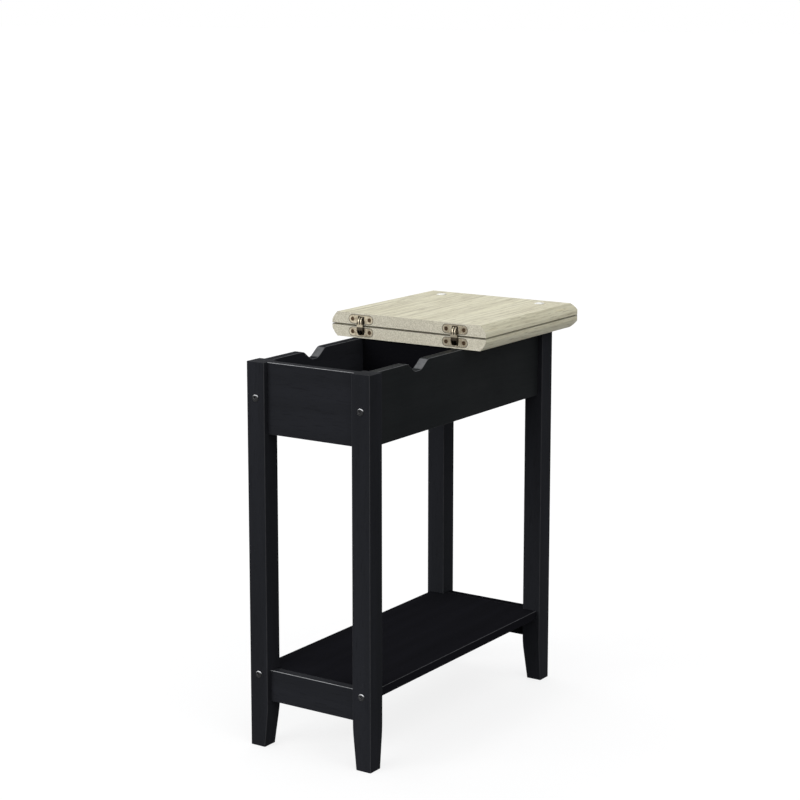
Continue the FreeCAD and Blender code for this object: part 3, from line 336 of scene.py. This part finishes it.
def pale_board(name):
    """Whitewashed wood grain along the length, with painted shade along the fold and around the hinge
    plates.

    Sawn faces show a plain speckle, and so do the far ends, more faintly.
    """
    material, net, surface, place = finish_on(name)
    spots = net.share(LEAF_PLACES, Vector=place)
    grain = net.share(BOARD_GRAIN, Vector=place)
    edge = net.share(RUBBED_EDGES, Vector=place, Width=1.6 * MM)["Mask"]
    touch = net.share(HANDLING, Vector=place)
    tone = net.math("MULTIPLY_ADD", grain["Bands"], 0.3, net.math("MULTIPLY", grain["Lines"], 0.15))
    tone = net.math("MULTIPLY_ADD", grain["Streaks"], 0.55, tone)
    wash = net.ramp(tone, [
        (0.12, paint(164, 156, 130)),
        (0.32, paint(194, 188, 161)),
        (0.52, paint(208, 203, 176)),
        (0.72, paint(217, 213, 187)),
        (0.95, paint(213, 202, 164)),
    ])
    wash = net.tint(wash, paint(138, 126, 102), grain["Pores"], 0.5)
    speckle = net.fade(net.noise(place, scale=600.0, detail=4.0, roughness=0.7), 0.3, 0.7)
    sawn = net.mix(speckle, paint(182, 176, 155), paint(223, 218, 200))
    facing = net.parts(net.add("ShaderNodeTexCoord").outputs["Normal"])
    far_end = net.fade(facing["Y"], 0.3, 0.6, 0.0, 0.7)
    wash = net.mix(net.math("MAXIMUM", spots["Sawn"], far_end), wash, sawn)
    wash = net.tint(wash, paint(228, 224, 208), edge, 0.3)
    wash = net.tint(wash, paint(120, 112, 96), touch["Specks"], 0.1)
    # Painted shade in the seam, along the rims where the two leaves meet.
    wash = net.tint(wash, paint(38, 32, 25), spots["Rim"], 0.95)
    # Painted shadow in a thin line around each hinge plate on the sawn face.
    wash = net.tint(wash, paint(58, 49, 39), spots["Seat"], 0.85)
    net.plug(surface["Base Color"], wash)
    rough = net.math("MULTIPLY_ADD", touch["Haze"], 0.1, 0.46)
    net.plug(surface["Roughness"], net.math("MULTIPLY_ADD", grain["Pores"], 0.15, rough))
    surface["Specular IOR Level"].default_value = 0.35
    height = net.math("MULTIPLY_ADD", grain["Streaks"], 0.35, net.math("MULTIPLY", grain["Lines"], 0.15))
    height = net.math("SUBTRACT", height, net.math("MULTIPLY", grain["Pores"], 0.6))
    raise_by(net, surface, height, 0.16 * MM, 0.7)
    return material


def bare_beech(name, turn):
    """Unfinished beech: warm, with short dark flecks."""
    material, net, surface, place = finish_on(name)
    grain = net.share(BOARD_GRAIN, Vector=net.stretch(place, (1.6, 3, 1.6), turn))
    wood = net.mix(grain["Bands"], paint(196, 158, 116), paint(214, 180, 140))
    net.plug(surface["Base Color"], net.tint(wood, paint(140, 98, 62), grain["Pores"], 0.6))
    net.plug(surface["Roughness"], net.math("MULTIPLY_ADD", grain["Streaks"], 0.15, 0.55))
    raise_by(net, surface, net.math("SUBTRACT", grain["Streaks"], grain["Pores"]), 0.1 * MM, 0.5)
    return material


def metal(name, worn, body, stain, stain_share, roughness, edge_width, unshaded_span=None):
    """Aged metal: a cloudy stain over the body colour, polished bare along the edges, with fine scratches.

    The last argument, if given, is the lowest and highest place between which a piece keeps its colour;
    beyond it painted shade darkens the piece, where the links lie down inside the hinge cups.
    """
    material, net, surface, place = finish_on(name)
    edge = net.share(RUBBED_EDGES, Vector=place, Width=edge_width)["Mask"]
    cloud = net.noise(place, scale=160.0, detail=5.0, roughness=0.65, distortion=0.6)
    cloud = net.fade(cloud, 0.35, 0.66)
    scratch = net.fade(net.noise(net.stretch(place, (90, 90, 2600), (0.3, 0.5, 0.2))), 0.5, 0.72)
    colour = net.tint(body, stain, cloud, stain_share)
    colour = net.tint(colour, worn, edge, 0.7)
    # Painted shade beyond the unshaded span, where the links lie down inside the hinge cups.
    if unshaded_span:
        low_fade, high_fade = 0.8 * MM, 0.5 * MM
        level = net.parts(place)["Z"]
        below = net.fade(level, unshaded_span[0] + low_fade, unshaded_span[0] - low_fade)
        above = net.fade(level, unshaded_span[1] - high_fade, unshaded_span[1] + high_fade)
        colour = net.tint(colour, paint(44, 36, 29), net.math("MAXIMUM", below, above), 0.9)
    net.plug(surface["Base Color"], colour)
    surface["Metallic"].default_value = 1.0
    rough = net.math("MULTIPLY_ADD", cloud, 0.18, roughness)
    net.plug(surface["Roughness"], net.math("MULTIPLY_ADD", scratch, 0.1, rough))
    height = net.math("MULTIPLY_ADD", scratch, 0.3, net.math("MULTIPLY", cloud, 0.3))
    raise_by(net, surface, height, 0.05 * MM, 0.5)
    return material


def bolt_black(name):
    """Blackened bolt heads, with a painted highlight on the upper side of their domes."""
    material, net, surface, place = finish_on(name)
    arris = net.share(ARRIS, Vector=place)
    touch = net.share(HANDLING, Vector=place)
    # Painted highlight: near white and more metallic where the dome's rim looks up.
    bare = net.math("MULTIPLY", arris["Turn"], arris["Upward"])
    colour = net.mix(touch["Haze"], paint(34, 34, 35), paint(44, 44, 46))
    net.plug(surface["Base Color"], net.mix(bare, colour, paint(232, 233, 235)))
    net.plug(surface["Metallic"], net.math("MULTIPLY_ADD", bare, 0.4, 0.3))
    net.plug(surface["Roughness"], net.math("MULTIPLY_ADD", touch["Haze"], 0.12, 0.26))
    surface["Specular IOR Level"].default_value = 0.2
    raise_by(net, surface, net.noise(place, scale=1800.0), 0.03 * MM, 0.4)
    return material


def plastic(name, light, dark, roughness, grain_scale, gloss):
    """Moulded plastic or rubber: an even tone with a fine sparked texture and slow haze."""
    material, net, surface, place = finish_on(name)
    touch = net.share(HANDLING, Vector=place)
    edge = net.share(RUBBED_EDGES, Vector=place, Width=0.6 * MM)["Mask"]
    colour = net.mix(touch["Haze"], dark, light)
    net.plug(surface["Base Color"], net.tint(colour, paint(150, 150, 150), edge, 0.25))
    net.plug(surface["Roughness"], net.math("MULTIPLY_ADD", touch["Haze"], 0.1, roughness))
    surface["Specular IOR Level"].default_value = gloss
    raise_by(net, surface, net.noise(place, grain_scale, detail=3.0, roughness=0.6), 0.06 * MM, 0.5)
    return material


def white_felt(name):
    """Pressed felt: tangled short fibres in two crossing directions."""
    material, net, surface, place = finish_on(name)
    first = net.stretch(place, (5200, 1500, 2500), (0, 0, 0.6))
    second = net.stretch(place, (1400, 4800, 2500), (0, 0, -0.5))
    fibres = net.math("MAXIMUM", *(net.noise(lay, detail=3.0, roughness=0.6) for lay in (first, second)))
    tone = net.fade(fibres, 0.4, 0.75)
    net.plug(surface["Base Color"], net.mix(tone, paint(228, 228, 224), paint(252, 252, 250)))
    net.plug(surface["Roughness"], net.math("MULTIPLY_ADD", tone, -0.1, 0.95))
    surface["Sheen Weight"].default_value = 0.3
    raise_by(net, surface, fibres, 0.25 * MM, 0.8)
    return material


# Black paint.  The darker films are painted shade: the right rail's side away from the light, the shelf and
# compartment floor under the top, and the back stretcher and divider deep inside.
FILM = paint(34, 35, 38), paint(39, 40, 44)
SHADED_RAIL_FILM = paint(27, 29, 30), paint(31, 33, 34)
SHADED_SHELF_FILM = paint(22, 22, 25), paint(26, 26, 30)
DEEP_SHADE_FILM = paint(16, 16, 19), paint(20, 20, 23)
PAINT_UPRIGHT = black_paint("black_paint_upright", ALONG_Z, FILM, polish=0.1, arris_highlight=0.55, gloss=0.005)
PAINT_ACROSS = black_paint("black_paint_across", ALONG_X, FILM, polish=0.1, arris_highlight=0.7, gloss=0.005)
PAINT_LEFT_RAIL = black_paint("black_paint_left_rail", ALONG_Y, FILM, polish=0.3, arris_highlight=0.12, gloss=0.001)
PAINT_RIGHT_RAIL = black_paint(
    "black_paint_right_rail", ALONG_Y, SHADED_RAIL_FILM, polish=0.3, arris_highlight=0.14, gloss=0.014)
PAINT_INSIDE = black_paint("black_paint_inside", ALONG_Y, SHADED_SHELF_FILM, polish=0.0, arris_highlight=0.1, gloss=0.0)
PAINT_BEHIND = black_paint("black_paint_behind", ALONG_X, DEEP_SHADE_FILM, polish=0.0, arris_highlight=0.0, gloss=0.0)

# Boards left pale or bare
PALE_BOARD = pale_board("pale_board")
BEECH_ACROSS = bare_beech("beech_across", ALONG_X)
BEECH_LENGTHWISE = bare_beech("beech_lengthwise", ALONG_Y)

# Metals, each with its worn, body and stain colours
BRASS_TONES = paint(226, 219, 200), paint(182, 173, 152), paint(102, 89, 72)
BRONZE_TONES = paint(140, 120, 96), paint(82, 67, 52), paint(42, 34, 27)
PIN_TONES = paint(205, 203, 198), paint(158, 156, 152), paint(92, 88, 82)
ZINC_TONES = paint(222, 222, 218), paint(176, 177, 175), paint(128, 128, 122)
# Heights between which each set of links is left unshaded; beyond them, painted shade.
UNSHADED_LOW = fold_z - 1.8 * MM
FIXED_LINK_UNSHADED = UNSHADED_LOW, fold_z + 2.2 * MM
LEAF_LINK_UNSHADED = UNSHADED_LOW, flip_high[2]
BRASS = metal("antique_brass", *BRASS_TONES, stain_share=0.7, roughness=0.3, edge_width=0.9 * MM)
LEAF_LINK_BRASS = metal(
    "leaf_link_brass", *BRASS_TONES, stain_share=0.4, roughness=0.3, edge_width=0.5 * MM,
    unshaded_span=LEAF_LINK_UNSHADED)
FIXED_LINK_BRASS = metal(
    "fixed_link_brass", *BRASS_TONES, stain_share=0.4, roughness=0.3, edge_width=0.5 * MM,
    unshaded_span=FIXED_LINK_UNSHADED)
BRONZE = metal("dark_bronze", *BRONZE_TONES, stain_share=0.6, roughness=0.36, edge_width=0.4 * MM)
PIN_STEEL = metal("pin_steel", *PIN_TONES, stain_share=0.5, roughness=0.28, edge_width=0.4 * MM)
ZINC = metal("zinc_steel", *ZINC_TONES, stain_share=0.5, roughness=0.32, edge_width=0.8 * MM)
BOLT_BLACK = bolt_black("bolt_black")

# Plastic, rubber and felt
BLACK_PLASTIC = plastic(
    "black_plastic", paint(30, 30, 31), paint(24, 24, 25),
    roughness=0.5, grain_scale=900.0, gloss=0.4)
WHITE_PLASTIC = plastic(
    "white_plastic", paint(232, 231, 226), paint(222, 220, 214),
    roughness=0.32, grain_scale=500.0, gloss=0.5)
BLACK_RUBBER = plastic(
    "black_rubber", paint(34, 33, 33), paint(26, 26, 26),
    roughness=0.68, grain_scale=1400.0, gloss=0.3)
FELT = white_felt("white_felt")


def dress(material, *names):
    """Gives CAD nodes a finish."""
    for name in names:
        for slot in NODES[name].material_slots:
            slot.material = material


dress(PAINT_UPRIGHT, *(f"leg_{end}_{flank}" for end in ENDS for flank in FLANKS))
dress(PAINT_ACROSS, "apron_front", "apron_back", "stretcher_front")
dress(PAINT_BEHIND, "stretcher_back", "divider")
dress(PAINT_LEFT_RAIL, "side_rail_left")
dress(PAINT_RIGHT_RAIL, "side_rail_right")
dress(PAINT_INSIDE, "shelf", "compartment_floor")
dress(PALE_BOARD, "top_fixed_leaf", "top_flip_leaf")
dress(BEECH_ACROSS, "apron_dowels", "stretcher_dowels", "divider_dowels")
dress(BEECH_LENGTHWISE, "rail_dowels")
dress(BRONZE, "hinge_fixed_screws", "hinge_leaf_screws")
for flank in FLANKS:
    dress(BRASS, *(f"hinge_{flank}_{piece}" for piece in ("fixed_cup", "leaf_cup")))
    dress(FIXED_LINK_BRASS, f"hinge_{flank}_fixed_links")
    dress(LEAF_LINK_BRASS, f"hinge_{flank}_leaf_links")
    dress(PIN_STEEL, *(f"hinge_{flank}_{piece}" for piece in ("fixed_pivot", "leaf_pivot", "centre_pin")))
dress(BOLT_BLACK, "rail_bolts", "shelf_bolts")
dress(ZINC, "rail_barrel_nuts", "shelf_barrel_nuts", "top_brackets", "top_bracket_screws")
dress(ZINC, "usb_shells", "station_screws")
dress(BLACK_PLASTIC, "station_faceplate", "station_housing", "outlet_inserts")
dress(WHITE_PLASTIC, "usb_insert")
dress(BLACK_RUBBER, "cord_gland", "cord_grommet")


def ring_skin(rings):
    """Faces over a stack of rings: quads between neighbours, and one face on each end."""
    count, around = rings.shape[:2]
    step = np.arange(around)
    after = (step + 1) % around
    rows = np.arange(count - 1)[:, None] * around
    quads = np.stack([rows + step, rows + after, rows + after + around, rows + step + around], axis=-1)
    low_end = step[::-1].tolist()
    high_end = (step + (count - 1) * around).tolist()
    return [*quads.reshape(-1, 4).tolist(), low_end, high_end]


def make_piece(name, points, faces, material, body):
    """A mesh object at the origin with its place in its mesh, which rides on a body."""
    mesh = bpy.data.meshes.new(name)
    mesh.from_pydata(points.reshape(-1, 3).tolist(), [], faces)
    mesh.materials.append(material)
    mesh.polygons.foreach_set("use_smooth", np.ones(len(mesh.polygons), bool))
    mesh.update()
    piece = bpy.data.objects.new(name, mesh)
    bpy.context.scene.collection.objects.link(piece)
    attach(piece, body)
    return piece


PAD_SIDES = 96
PAD_POWER = 7
PAD_FIT_SHARE = 0.985
# Each ruffle's share of the pad's reach and its waves around the rim.
BROAD_RUFFLE = 0.006, 9
FINE_RUFFLE = 0.004, 23
RUFFLE_TURN_PER_METRE = 900
# Each ring's shares of the pad's plan and of its thickness, from the glued face up to the crown.
PAD_RING_SHARES = np.array([
    (0.30, 0.0), (0.80, 0.0), (0.97, 0.0), (1.0, 0.12), (1.0, 0.5), (0.985, 0.74), (0.95, 0.87),
    (0.88, 0.93), (0.6, 0.975), (0.3, 0.995), (0.08, 1.0),
])


def rest_pad(name, middle, base, half, thickness):
    """A felt pad: a rounded square carried up a soft-edged profile to a low crown.

    The plan is a superellipse.  Its reach at a turn is the sum of the cosine and the sine, each without
    its sign and raised to the pad's power, to the power of minus one over that.  A small sum of sines
    ruffles the rim as cut felt is.
    """
    turn = np.linspace(0.0, 2 * np.pi, PAD_SIDES, endpoint=False)
    reach = (np.abs(np.cos(turn)) ** PAD_POWER + np.abs(np.sin(turn)) ** PAD_POWER) ** (-1 / PAD_POWER)
    broad, broad_waves = BROAD_RUFFLE
    fine, fine_waves = FINE_RUFFLE
    start = middle[0] * RUFFLE_TURN_PER_METRE
    ruffle = 1 + broad * np.sin(broad_waves * turn + start) + fine * np.sin(fine_waves * turn)
    wide = half * PAD_FIT_SHARE * PAD_RING_SHARES[:, :1] * reach * ruffle
    points = np.stack([
        middle[0] + wide * np.cos(turn),
        middle[1] + wide * np.sin(turn),
        np.broadcast_to(base + thickness * PAD_RING_SHARES[:, 1:], wide.shape),
    ], axis=-1)
    pad = make_piece(name, points, ring_skin(points), FELT, "flip_leaf")
    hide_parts("rest_pads")


pad_low, pad_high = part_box("rest_pads")
pad_half = (pad_high[1] - pad_low[1]) / 2
pad_y = (pad_low[1] + pad_high[1]) / 2
pad_x = pad_high[0] - pad_half
for flank, side in zip(FLANKS, (-1, 1)):
    rest_pad(f"rest_pad_{flank}", (side * pad_x, pad_y), pad_low[2], pad_half, pad_high[2] - pad_low[2])


def seen_directly(net):
    """1 on the rays that show a surface: the camera's own, mirrored ones and those through clear things."""
    rays = net.add("ShaderNodeLightPath").outputs
    seen = net.math("MAXIMUM", rays["Is Camera Ray"], rays["Is Glossy Ray"])
    return net.math("MAXIMUM", seen, rays["Is Transmission Ray"])


def make_floor():
    """A wide flat sheet under the feet: a grid of three by three points, joined in four squares."""
    half_span = 60.0
    span = np.linspace(-half_span, half_span, 3)
    x, y = np.meshgrid(span, span)
    points = np.stack([x, y, np.zeros_like(x)], axis=-1)
    corner = np.array([0, 1, 3, 4])
    faces = np.stack([corner, corner + 1, corner + 4, corner + 3], axis=-1).tolist()
    mesh = bpy.data.meshes.new("studio_floor")
    mesh.from_pydata(points.reshape(-1, 3).tolist(), [], faces)
    material, net, surface, place = finish_on("pale_floor")
    mottle = net.noise(place, scale=3.0, detail=3.0)
    net.plug(surface["Base Color"], net.mix(mottle, paint(136, 136, 136), paint(140, 140, 140)))
    surface["Roughness"].default_value = 0.9
    surface["Specular IOR Level"].default_value = 0.0
    surface["Emission Color"].default_value = WHITE
    net.plug(surface["Emission Strength"], net.math("MULTIPLY", seen_directly(net), 0.78))
    mesh.materials.append(material)
    floor = bpy.data.objects.new("studio_floor", mesh)
    bpy.context.scene.collection.objects.link(floor)


def make_sky():
    """Even ambient light, seen as white by the camera and in reflections."""
    world = bpy.data.worlds.new("studio")
    world.use_nodes = True
    net = ShaderNet(world.node_tree)
    back = world.node_tree.nodes["Background"]
    ambient = (0.42, 0.425, 0.435, 1.0)
    net.plug(back.inputs["Color"], net.mix(seen_directly(net), ambient, WHITE))
    bpy.context.scene.world = world


def make_sun(name, towards, level, spread, glints=True):
    """A soft distant light that shines towards a direction.

    Level is what it adds to a surface that faces it, and spread is its width in degrees.  A fill light
    leaves no glints.
    """
    light = bpy.data.lights.new(name, "SUN")
    light.energy = level * math.pi
    light.angle = math.radians(spread)
    item = bpy.data.objects.new(name, light)
    item.rotation_euler = Vector(towards).to_track_quat("-Z", "Y").to_euler()
    item.visible_glossy = glints
    bpy.context.scene.collection.objects.link(item)


def make_camera():
    """The viewpoint, found by fitting the table's corners and edges, and turned down at the table."""
    lens = bpy.data.cameras.new("camera")
    lens.sensor_width = 36.0
    lens.lens = 91.53
    lens.shift_y = -0.06
    lens.clip_end = 500.0
    item = bpy.data.objects.new("camera", lens)
    item.location = (1.713, -2.6013, 1.115)
    aside = math.radians(33.70)
    down = math.radians(9.83)
    level = Vector((-math.sin(aside), math.cos(aside), 0.0)) * math.cos(down)
    ahead = level - Vector((0.0, 0.0, math.sin(down)))
    item.rotation_euler = ahead.to_track_quat("-Z", "Y").to_euler()
    bpy.context.scene.collection.objects.link(item)
    bpy.context.scene.camera = item


make_floor()
make_sky()
make_sun("front", towards=(0.35, 0.85, -0.32), level=0.61, spread=50)
make_sun("overhead", towards=(0.55, -0.1, -0.83), level=0.1, spread=25)
make_sun("rear", towards=(0.5, -0.8, -0.25), level=0.28, spread=60, glints=False)
make_sun("side", towards=(-0.7, 0.2, -0.68), level=0.31, spread=60)
make_camera()
bpy.context.scene.view_settings.view_transform = "Standard"
